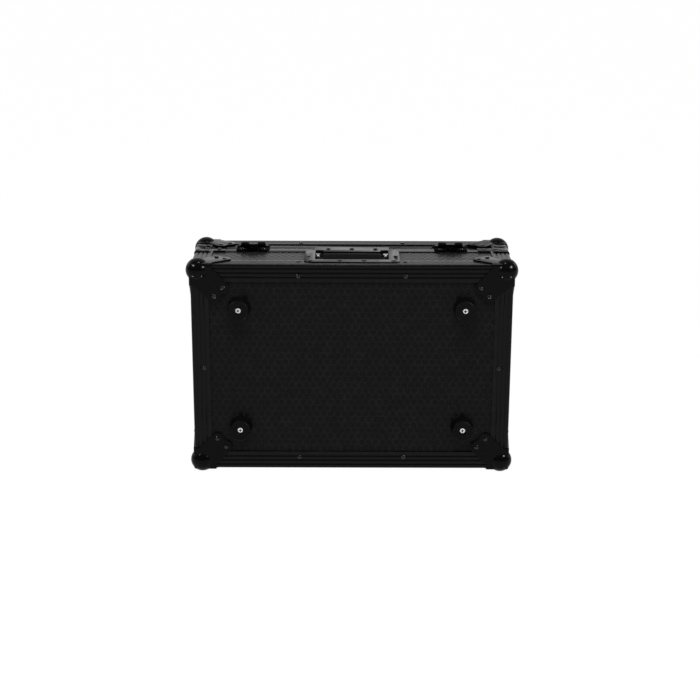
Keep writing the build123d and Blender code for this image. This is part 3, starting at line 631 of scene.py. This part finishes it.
def extrusion_profile():
    """Closed section of the edge extrusion, as distances from the case's two faces."""
    s = sizes()
    tube = s.edge_wall + s.panel + s.inner_wall
    panel_in = s.edge_wall + s.panel
    one = leg_outline(s.edge_leg)
    corner = arc(s.edge_wall, s.edge_wall, s.edge_wall, 180.0, 270.0, 5)
    other = [(b, a) for a, b in reversed(one)]
    inside = [(s.edge_leg, s.edge_wall), (tube, s.edge_wall), (tube, panel_in),
              (s.inner_leg, panel_in), (s.inner_leg, tube), (tube, tube)]
    back = [(b, a) for a, b in reversed(inside[:-1])]
    return one + corner + other + inside + back


def corner_posts(name, face_y, inward, end_y):
    """The four short extrusions from one face's corners to the rim."""
    profile = extrusion_profile()
    bm = bmesh.new()
    for x, z, sx, sz in CORNERS:
        near = [bm.verts.new((x + sx * a, face_y + inward * max(a, b), z + sz * b))
                for a, b in profile]
        far = [bm.verts.new((x + sx * a, end_y, z + sz * b)) for a, b in profile]
        bridge(bm, near, far)
        bm.faces.new(far)
        bm.faces.new(near)
    return piece_from(bm, name)


def cell_seats(low, high, normal_axis, level, out):
    """Seats of the laminate's cells on one face, in rows a half pitch apart."""
    pitch = sizes().cell_pitch
    row_pitch = pitch * math.sqrt(3) / 2
    along, up = [axis for axis in range(3) if axis != normal_axis]
    margin = sizes().cell_width * CELL_MARGIN
    seats = []
    rows = int((high[up] - low[up]) / 2 / row_pitch)
    columns = int((high[along] - low[along]) / 2 / pitch) + 1
    centre = (low + high) / 2
    facing = Vector((0.0, 0.0, 0.0))
    facing[normal_axis] = out
    for row in range(-rows, rows + 1):
        for column in range(-columns, columns + 1):
            spot = centre.copy()
            spot[normal_axis] = level
            spot[along] += (column + (row % 2) / 2) * pitch
            spot[up] += row * row_pitch
            inside = (low[along] + margin < spot[along] < high[along] - margin
                      and low[up] + margin < spot[up] < high[up] - margin)
            if inside:
                seats.append((spot, facing))
    return seats


def panel_cells(half, faces):
    """The raised cells of one half's panels, as one piece."""
    s = sizes()
    seats = []
    for panel, axis, out in faces:
        low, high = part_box(panel)
        seats += cell_seats(low, high, axis, high[axis] if out > 0 else low[axis], out)
    if half == "base":
        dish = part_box("handle_dish")
        feet = [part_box(f"foot_{end}_{side}") for end in ENDS for side in SIDES]
        seats = [seat for seat in seats if not under_hardware(*seat, dish, feet)]
    bm = bmesh.new()
    radius = s.cell_width / math.sqrt(3)
    root, bevel = -0.1 * MM, 0.5 * MM
    lathe(bm, [(0.0, root), (radius, root), (radius, s.cell_rise * 0.4),
               (radius - bevel, s.cell_rise), (0.0, s.cell_rise)], 6)
    bmesh.ops.rotate(bm, verts=bm.verts, matrix=Matrix.Rotation(math.radians(30.0), 3, "Z"))
    head = template(bm, half + ".cell", smooth=False)
    piece = heads_on_seats(half + "_panel_cells", head, seats, "laminated_panel",
                           finish="laminate_cell")
    bpy.data.objects.remove(head)
    return settle(piece, half, "laminated_panel", finish="laminate_cell")


def under_hardware(spot, out, dish, feet):
    """Whether a cell would lie under the handle's dish or a foot."""
    if out.z > 0.5:
        low, high = dish
        margin = sizes().cell_width / 2
        return low.x - margin < spot.x < high.x + margin
    if out.y < -0.5:
        for low, high in feet:
            middle = (low + high) / 2
            if math.hypot(spot.x - middle.x, spot.z - middle.z) < (high.x - low.x) / 2:
                return True
    return False


class FLIGHTCASE_OT_stage(bpy.types.Operator):
    """Make the ground, the world, the lamps and the camera"""
    bl_idname = "flightcase.stage"
    bl_label = "Stage"

    def execute(self, context):
        studio = context.scene.case_studio
        ground(studio)
        world(studio)
        lamps(studio)
        camera()
        context.scene.view_settings.view_transform = "Standard"
        return {"FINISHED"}


def ground(studio):
    """A pale floor that keeps the case's shadow."""
    bm = bmesh.new()
    bmesh.ops.create_grid(bm, x_segments=1, y_segments=1, size=FLOOR_SIZE)
    floor = piece_from(bm, "floor", smooth=False)
    material = bpy.data.materials.new("pale floor")
    material.use_nodes = True
    tree = material.node_tree
    surface = tree.nodes["Principled BSDF"]
    surface.inputs["Base Color"].default_value = FLOOR_GREY
    surface.inputs["Roughness"].default_value = 0.9
    surface.inputs["Specular IOR Level"].default_value = 0.0
    path = node(tree, "ShaderNodeLightPath")
    share = node(tree, "ShaderNodeMath", {1: studio.floor_lift}, operation="MULTIPLY")
    white = node(tree, "ShaderNodeEmission", {"Strength": FLOOR_WHITE})
    mixed = node(tree, "ShaderNodeMixShader")
    seen = node(tree, "ShaderNodeMath", operation="MAXIMUM")
    clear = node(tree, "ShaderNodeMath", operation="MAXIMUM")
    link(tree, path, "Is Camera Ray", seen, 0)
    link(tree, path, "Is Glossy Ray", seen, 1)
    link(tree, seen, 0, clear, 0)
    link(tree, path, "Is Transmission Ray", clear, 1)
    link(tree, clear, 0, share, 0)
    link(tree, share, 0, mixed, 0)
    link(tree, surface, "BSDF", mixed, 1)
    link(tree, white, "Emission", mixed, 2)
    link(tree, mixed, "Shader", tree.nodes["Material Output"], "Surface")
    floor.data.materials.append(material)


def world(studio):
    """White to the camera, and to gloss where the backdrop is; soft and even as a light."""
    made = bpy.data.worlds.new("studio")
    bpy.context.scene.world = made
    made.use_nodes = True
    tree = made.node_tree
    tree.nodes.clear()
    path = node(tree, "ShaderNodeLightPath")
    place = node(tree, "ShaderNodeTexCoord")
    split = node(tree, "ShaderNodeSeparateXYZ")
    backdrop = node(tree, "ShaderNodeMapRange", BACKDROP, interpolation_type="SMOOTHSTEP")
    gloss = node(tree, "ShaderNodeMix", {2: studio.ambient})
    seen = node(tree, "ShaderNodeMath", operation="MAXIMUM")
    strength = node(tree, "ShaderNodeMix", {3: 1.0})
    light = node(tree, "ShaderNodeBackground", {"Color": (1.0, 1.0, 1.0, 1.0)})
    end = node(tree, "ShaderNodeOutputWorld")
    link(tree, place, "Generated", split, "Vector")
    link(tree, split, "Y", backdrop, "Value")
    link(tree, path, "Is Glossy Ray", gloss, 0)
    link(tree, backdrop, 0, gloss, 3)
    link(tree, path, "Is Camera Ray", seen, 0)
    link(tree, path, "Is Transmission Ray", seen, 1)
    link(tree, gloss, 0, strength, 2)
    link(tree, seen, 0, strength, 0)
    link(tree, strength, 0, light, "Strength")
    link(tree, light, "Background", end, "Surface")


def lamp(name, place, target, brightness, size, beam=180.0, gloss=True, diffuse=True):
    """One area lamp that faces a point and that the camera doesn't see."""
    data = bpy.data.lights.new(name, "AREA")
    data.shape = "RECTANGLE"
    data.size, data.size_y = size
    data.spread = math.radians(beam)
    # A lamp puts its power into its beam, so a narrow one needs less to be as bright
    data.energy = brightness * math.pi * size[0] * size[1] * math.sin(data.spread / 2) ** 2
    made = bpy.data.objects.new(name, data)
    made.location = place
    made.rotation_mode = "QUATERNION"
    made.rotation_quaternion = (Vector(target) - Vector(place)).to_track_quat("-Z", "Y")
    made.visible_camera = False
    made.visible_glossy = gloss
    made.visible_diffuse = diffuse
    bpy.context.scene.collection.objects.link(made)


def lamps(studio):
    """A soft lamp overhead, and small ones that only glint in the balls and the rivets."""
    area = math.pi * OVERHEAD_SIZE[0] * OVERHEAD_SIZE[1]
    lamp("overhead", OVERHEAD_PLACE, LAMP_AIM, studio.key / area, OVERHEAD_SIZE, gloss=False)
    for name, place, width, height, share in GLINT_LAMPS:
        lamp("glint." + name, place, LAMP_AIM, studio.glint * share, (width, height),
             diffuse=False)
    for side in SIDES:
        low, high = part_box("base_ball_corner_front_" + side)
        outwards = -1 if side == "left" else 1
        ball = (low + high) / 2
        ball.y = low.y + (high.z - low.z) / 2
        for name, (reach, ahead) in TABLE_GLINTS.items():
            place = (ball.x + outwards * reach, ball.y - ahead, TABLE_GLINT_HEIGHT)
            lamp(f"table.{name}.{side}", place, ball, studio.glint, TABLE_GLINT_SIZE, TABLE_BEAM,
                 diffuse=False)


def camera():
    """The photograph's camera."""
    yaw, pitch, roll = (math.radians(a) for a in (CAMERA_YAW, CAMERA_PITCH, CAMERA_ROLL))
    flat = math.cos(pitch)
    ahead = Vector((math.sin(yaw) * flat, math.cos(yaw) * flat, -math.sin(pitch)))
    level = Vector((math.cos(yaw), -math.sin(yaw), 0.0))
    below = ahead.cross(level)
    right = level * math.cos(roll) + below * math.sin(roll)
    down = below * math.cos(roll) - level * math.sin(roll)
    data = bpy.data.cameras.new("camera")
    data.sensor_width = SENSOR
    data.lens = FOCAL_PIXELS / PICTURE_PIXELS * SENSOR
    made = bpy.data.objects.new("camera", data)
    turn = Matrix((right, -down, -ahead)).transposed()
    made.matrix_world = Matrix.Translation(CAMERA_PLACE) @ turn.to_4x4()
    bpy.context.scene.collection.objects.link(made)
    bpy.context.scene.camera = made


class FLIGHTCASE_OT_panels(bpy.types.Operator):
    """Finish the panels and set the cells of their laminate"""
    bl_idname = "flightcase.panels"
    bl_label = "Panels"

    def execute(self, context):
        # The axis that each side's panel faces along, and which way
        faces = {"front": (2, 1), "rear": (2, -1), "left": (0, -1), "right": (0, 1)}
        for half, cover, out in (("base", "bottom", -1), ("lid", "top", 1)):
            rows = [(f"{half}_{cover}_panel", 1, out)]
            rows += [(f"{half}_{side}_panel", *where) for side, where in faces.items()]
            for panel, _, _ in rows:
                coat_cad(panel)
            panel_cells(half, rows)
        return {"FINISHED"}


def coat_cad(cad_node):
    """Keeps a CAD node's shape and gives it its finish."""
    slot = slot_of(cad_node)
    shown = frame["nodes"][cad_node]
    shown.data.materials.clear()
    shown.data.materials.append(finish_of(slot))


class FLIGHTCASE_OT_extrusions(bpy.types.Operator):
    """Make the grooved edge extrusions and the rims along the joint"""
    bl_idname = "flightcase.extrusions"
    bl_label = "Extrusions"

    def execute(self, context):
        section = extrusion_profile()
        edge = sizes().soft_edge
        for half, cad, face, inward, post_end in (
                ("base", "base_bottom_edges", UNDERSIDE, 1, RIM_START),
                ("lid", "lid_top_edges", LID_TOP, -1, LID_RIM_END)):
            profile = [(a, face + inward * b) for a, b in section]
            ring = swept_ring(half + "_edge_extrusions", profile)
            settle(soften(ring, edge), half, "black_aluminium", cad)
            posts = corner_posts(half + "_corner_extrusions", face, inward, post_end)
            settle(soften(posts, edge), half, "black_aluminium", half + "_corner_edges")
        for half in HALVES:
            dress(half + "_rims")
        return {"FINISHED"}


class FLIGHTCASE_OT_corners(bpy.types.Operator):
    """Make the ball corners and the corner braces"""
    bl_idname = "flightcase.corners"
    bl_label = "Corners"

    def execute(self, context):
        for half in HALVES:
            for end in ENDS:
                for side in SIDES:
                    dress(f"{half}_ball_corner_{end}_{side}", ROUND["ball"], segments=3,
                          angle=28.0)
            dress(half + "_corner_braces", ROUND["brace"])
        return {"FINISHED"}


class FLIGHTCASE_OT_rivets(bpy.types.Operator):
    """Set a domed head on every rivet's seat"""
    bl_idname = "flightcase.rivets"
    bl_label = "Rivets"

    def execute(self, context):
        s = sizes()
        bm = bmesh.new()
        r, h, root = s.rivet_radius, s.rivet_rise, -0.3 * MM
        lathe(bm, [(0.0, root), (r * 0.97, root), (r, 0.12 * h), (r * 0.93, 0.42 * h),
                   (r * 0.74, 0.76 * h), (r * 0.42, 0.96 * h), (0.0, h)], HEAD_SEGMENTS)
        head = template(bm, "rivet.head")
        for half in HALVES:
            cad = half + "_rivets"
            piece = heads_on_seats(half + "_rivet_heads", head, seats_of(cad), "black_rivet")
            settle(piece, half, "black_rivet", cad)
        bpy.data.objects.remove(head)
        return {"FINISHED"}


class FLIGHTCASE_OT_feet(bpy.types.Operator):
    """Make the rubber feet with their screws and washers"""
    bl_idname = "flightcase.feet"
    bl_label = "Feet"

    def execute(self, context):
        for end in ENDS:
            for side in SIDES:
                rubber_foot(f"foot_{end}_{side}")
        dress("foot_washers", ROUND["washer"])
        dress("foot_screws", ROUND["screw"])
        # Painted shade: a dark insert sits in each screw's cross recess
        screw_recesses()
        return {"FINISHED"}


def screw_recesses():
    """Painted shade: a dark insert at the bottom of the cross recess of each foot's screw."""
    long, wide, low, high = 2.75 * MM, 0.62 * MM, -1.15 * MM, -0.25 * MM
    draft = 0.97
    outline = [(wide, wide), (wide, long), (-wide, long), (-wide, wide), (-long, wide),
               (-long, -wide), (-wide, -wide), (-wide, -long), (wide, -long), (wide, -wide),
               (long, -wide), (long, wide)]
    bm = bmesh.new()
    bottom = [bm.verts.new((x, y, low)) for x, y in outline]
    top = [bm.verts.new((x * draft, y * draft, high)) for x, y in outline]
    bridge(bm, bottom, top)
    bm.faces.new(top)
    bm.faces.new(bottom)
    head = template(bm, "screw.recess", smooth=False)
    seats = []
    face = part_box("foot_screws")[0].y
    for end in ENDS:
        for side in SIDES:
            low_corner, high_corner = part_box(f"foot_{end}_{side}")
            middle = (low_corner + high_corner) / 2
            seats.append((Vector((middle.x, face, middle.z)), Vector((0.0, -1.0, 0.0))))
    piece = heads_on_seats("screw_recesses", head, seats, "black_rivet")
    bpy.data.objects.remove(head)
    settle(piece, "base", "black_rivet", finish="latch_black")


def rubber_foot(cad_node):
    """A turned foot with a rounded tip, a moulded rib and a bore for its screw."""
    low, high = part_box(cad_node)
    radius = (high.x - low.x) / 2
    height = high.y - low.y
    tip = radius - 1.4 * MM
    hole, bore, floor = 2.6 * MM, 6.0 * MM, height - 8.5 * MM
    chamfer, rib_top, rib_step = 0.4 * MM, 3.0 * MM, 0.45 * MM
    tip_round, lip, hollow, fillet = 2.2 * MM, 0.8 * MM, 0.35 * MM, 0.5 * MM
    waist = radius - rib_step
    outline = [(hole, 0.0), (radius - chamfer, 0.0), (radius, chamfer),
               (radius - 0.15 * MM, 2.2 * MM), (waist, rib_top)]
    outline += [(waist - (waist - tip) * t, rib_top + (height - 5.4 * MM) * t)
                for t in (0.35, 0.7, 1.0)]
    outline += arc(tip - tip_round, height - tip_round, tip_round, 8.0, 90.0, 5)
    outline += [(tip - 5.0 * MM, height - hollow), (bore + 2.0 * MM, height - hollow)]
    outline += arc(bore + lip, height - hollow - lip, lip, 90.0, 180.0, 3)
    outline += [(bore, floor + fillet), (bore - fillet, floor), (hole, floor), (hole, 0.0)]
    bm = bmesh.new()
    middle = (low + high) / 2
    lathe(bm, outline, TURNED_SEGMENTS, (middle.x, high.y, middle.z), (0, -1, 0))
    bmesh.ops.remove_doubles(bm, verts=bm.verts, dist=POLE_WITHIN)
    piece = piece_from(bm, cad_node + ".rubber")
    soften(piece, ROUND["foot"], angle=40.0)
    settle(piece, "base", "rubber_foot", cad_node)


class FLIGHTCASE_OT_handle(bpy.types.Operator):
    """Make the recessed handle: dish, bar, ribbed grip, pins and springs"""
    bl_idname = "flightcase.handle"
    bl_label = "Handle"

    def execute(self, context):
        dress("handle_dish", ROUND["dish"])
        for cad in ("handle_bar", "handle_pins", "handle_springs"):
            coat_cad(cad)
        grip()
        boots()
        return {"FINISHED"}


def grip():
    """Rubber grip: an oval that swells in the middle and at the end beads, with fine ribs."""
    low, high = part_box("handle_grip")
    middle = (low + high) / 2
    half = (high.x - low.x) / 2
    radius = (high.y - low.y) / 2
    bore, rounding, bead, taper = 3.6 * MM, 3.3 * MM, 6.0 * MM, 0.06
    rib_pitch, rib_depth = 2.4 * MM, 0.35 * MM
    steps = 160  # along the grip, enough for its fine ribs
    outline = [(bore, -half)]
    for i in range(steps + 1):
        x = -half + 2 * half * i / steps
        from_end = half - abs(x)
        shape = radius * (1.0 - taper * (x / half) ** 2)
        if from_end < rounding:
            shape -= rounding - math.sqrt(max(rounding ** 2 - (rounding - from_end) ** 2, 0.0))
        elif abs(x) < half - bead:
            shape -= rib_depth * (0.5 - 0.5 * math.cos(2 * math.pi * x / rib_pitch))
        outline.append((shape, x))
    outline += [(bore, half), (bore, -half)]
    bm = bmesh.new()
    lathe(bm, outline, TURNED_SEGMENTS, middle, (1, 0, 0))
    bmesh.ops.remove_doubles(bm, verts=bm.verts, dist=POLE_WITHIN)
    piece = piece_from(bm, "handle_grip.rubber")
    settle(piece, "handle", "rubber_grip", "handle_grip")


def boots():
    """Rubber sleeves from the grip's ends round the bar's elbows."""
    _, bar_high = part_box("handle_bar")
    grip_low, grip_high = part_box("handle_grip")
    radius, bend, bar_radius = 4.0 * MM, 8.5 * MM, 3.5 * MM
    overlap, leg, taper = 3.0 * MM, 4.0 * MM, 0.35 * MM
    bar_x = bar_high.x - bar_radius
    y, z = (grip_low.y + grip_high.y) / 2, (grip_low.z + grip_high.z) / 2
    # The sleeve's middle line in X and Y, with the angle that it has turned through
    path = [(grip_high.x - overlap, y, 0.0)]
    for degrees in range(0, 91, 15):
        turn = math.radians(degrees)
        path.append((bar_x - bend + bend * math.sin(turn), y + bend - bend * math.cos(turn), turn))
    path.append((bar_x, y + bend + leg, math.radians(90.0)))
    for side, sign in (("left", -1), ("right", 1)):
        bm = bmesh.new()
        rings = []
        for step, (px, py, turn) in enumerate(path):
            across = Vector((sign * math.sin(turn), -math.cos(turn), 0.0))
            thick = radius if step < len(path) - 1 else radius - taper
            ring = []
            for i in range(HEAD_SEGMENTS):
                around = 2 * math.pi * i / HEAD_SEGMENTS
                spot = Vector((sign * px, py, z + thick * math.sin(around)))
                ring.append(bm.verts.new(spot + across * thick * math.cos(around)))
            rings.append(ring)
        for first, second in zip(rings, rings[1:]):
            bridge(bm, first, second)
        bm.faces.new(rings[0])
        bm.faces.new(rings[-1])
        piece = piece_from(bm, f"handle_boot.{side}")
        soften(piece, ROUND["boot"], angle=50.0)
        settle(piece, "handle", "rubber_grip")


class FLIGHTCASE_OT_latches(bpy.types.Operator):
    """Finish the butterfly latches and their keepers"""
    bl_idname = "flightcase.latches"
    bl_label = "Latches"

    def execute(self, context):
        for side in SIDES:
            for part in ("plate", "hook", "spindle", "keeper"):
                dress(f"latch_{part}_{side}", ROUND["latch"])
            dress(f"latch_wing_{side}")
        return {"FINISHED"}


class FLIGHTCASE_OT_hinges(bpy.types.Operator):
    """Finish the hinges on the rear side"""
    bl_idname = "flightcase.hinges"
    bl_label = "Hinges"

    def execute(self, context):
        for side in SIDES:
            for part in ("base_leaf", "lid_leaf"):
                dress(f"hinge_{part}_{side}")
            coat_cad(f"hinge_pin_{side}")
        return {"FINISHED"}


class FLIGHTCASE_OT_foam(bpy.types.Operator):
    """Make the foam lining"""
    bl_idname = "flightcase.foam"
    bl_label = "Foam"

    def execute(self, context):
        for cad_node, body in (("base_floor_foam", "base"), ("base_wall_foam", "base"),
                               ("lid_foam", "lid")):
            foam_piece(cad_node, body)
        return {"FINISHED"}


def foam_piece(cad_node, body):
    """Foam with soft rounded edges and a slightly uneven cut face."""
    piece = piece_from(merged_mesh(cad_node), cad_node + ".soft")
    soften(piece, ROUND["foam"], segments=3)
    settle(piece, body, "foam", cad_node)


class FLIGHTCASE_PT_panel(bpy.types.Panel):
    """Settings and steps of the flight case"""
    bl_label = "Flight Case"
    bl_idname = "FLIGHTCASE_PT_panel"
    bl_space_type = "VIEW_3D"
    bl_region_type = "UI"
    bl_category = "Flight Case"

    def draw(self, context):
        for setting, group in SETTINGS.items():
            box = self.layout.box()
            for name in group.__annotations__:
                box.prop(getattr(context.scene, setting), name)
        for step in STEPS:
            self.layout.operator(step.bl_idname)


STEPS = (FLIGHTCASE_OT_stage, FLIGHTCASE_OT_panels, FLIGHTCASE_OT_extrusions,
         FLIGHTCASE_OT_corners, FLIGHTCASE_OT_rivets, FLIGHTCASE_OT_feet, FLIGHTCASE_OT_handle,
         FLIGHTCASE_OT_latches, FLIGHTCASE_OT_hinges, FLIGHTCASE_OT_foam)
SETTINGS = {"case_sizes": CaseSizes, "case_colours": CaseColours, "case_studio": StudioLight}


def register():
    """Adds the settings, the steps and the panel."""
    for name, group in SETTINGS.items():
        bpy.utils.register_class(group)
        setattr(bpy.types.Scene, name, PointerProperty(type=group))
    for step in (*STEPS, FLIGHTCASE_PT_panel):
        bpy.utils.register_class(step)


def unregister():
    """Takes them away again."""
    for step in (FLIGHTCASE_PT_panel, *reversed(STEPS)):
        bpy.utils.unregister_class(step)
    for name, group in SETTINGS.items():
        delattr(bpy.types.Scene, name)
        bpy.utils.unregister_class(group)


def main():
    """Runs every step in order."""
    register()
    for step in STEPS:
        group, name = step.bl_idname.split(".")
        getattr(getattr(bpy.ops, group), name)()


if __name__ == "__main__":
    main()
